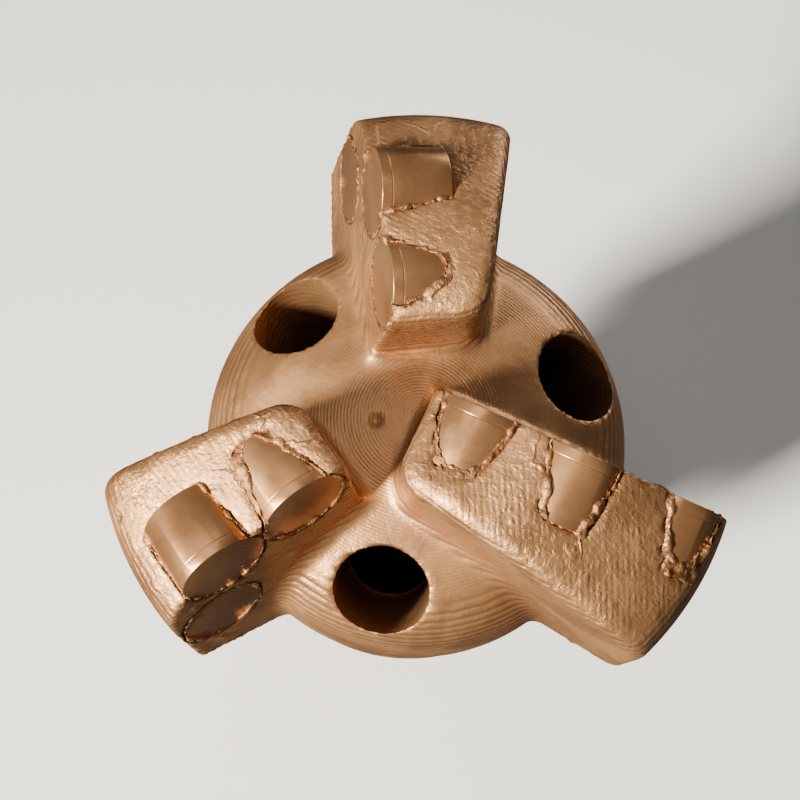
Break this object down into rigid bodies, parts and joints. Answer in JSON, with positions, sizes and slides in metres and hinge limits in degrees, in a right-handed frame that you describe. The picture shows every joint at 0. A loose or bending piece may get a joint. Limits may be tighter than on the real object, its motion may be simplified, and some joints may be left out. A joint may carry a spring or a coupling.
{
  "type": "pdc drill bit",
  "caption": "Bladed drag drill bit: domed steel crown with upright blades, brazed round cutters, open water ports and a tapered pin for a drill rod.",
  "frame": {"origin": "on the bit's axis in the plane of the pin shoulder", "axes": "+Z along the axis from the pin towards the rock, +X and +Y across it, the long blade points 24.5 degrees from +X towards -Y"},
  "size_m": [0.1141, 0.1031, 0.1803],
  "materials": {
    "body_paint": "satin copper paint",
    "cutter_paint": "satin copper paint",
    "braze_paint": "satin copper paint",
    "button_paint": "satin copper paint"
  },
  "bodies": {
    "root": {"bit_body": "body_paint", "cutter_long_1": "cutter_paint", "cutter_long_2": "cutter_paint", "cutter_long_3": "cutter_paint", "cutter_upper_1": "cutter_paint", "cutter_upper_2": "cutter_paint", "cutter_upper_3": "cutter_paint", "cutter_left_1": "cutter_paint", "cutter_left_2": "cutter_paint", "cutter_left_3": "cutter_paint", "braze_long_1": "braze_paint", "braze_long_2": "braze_paint", "braze_long_3": "braze_paint", "braze_upper_1": "braze_paint", "braze_upper_2": "braze_paint", "braze_upper_3": "braze_paint", "braze_left_1": "braze_paint", "braze_left_2": "braze_paint", "braze_left_3": "braze_paint", "gauge_button_long_1": "button_paint", "gauge_button_long_2": "button_paint", "gauge_button_long_3": "button_paint", "gauge_button_upper_1": "button_paint", "gauge_button_upper_2": "button_paint", "gauge_button_upper_3": "button_paint", "gauge_button_left_1": "button_paint", "gauge_button_left_2": "button_paint", "gauge_button_left_3": "button_paint"}
  },
  "joints": []
}
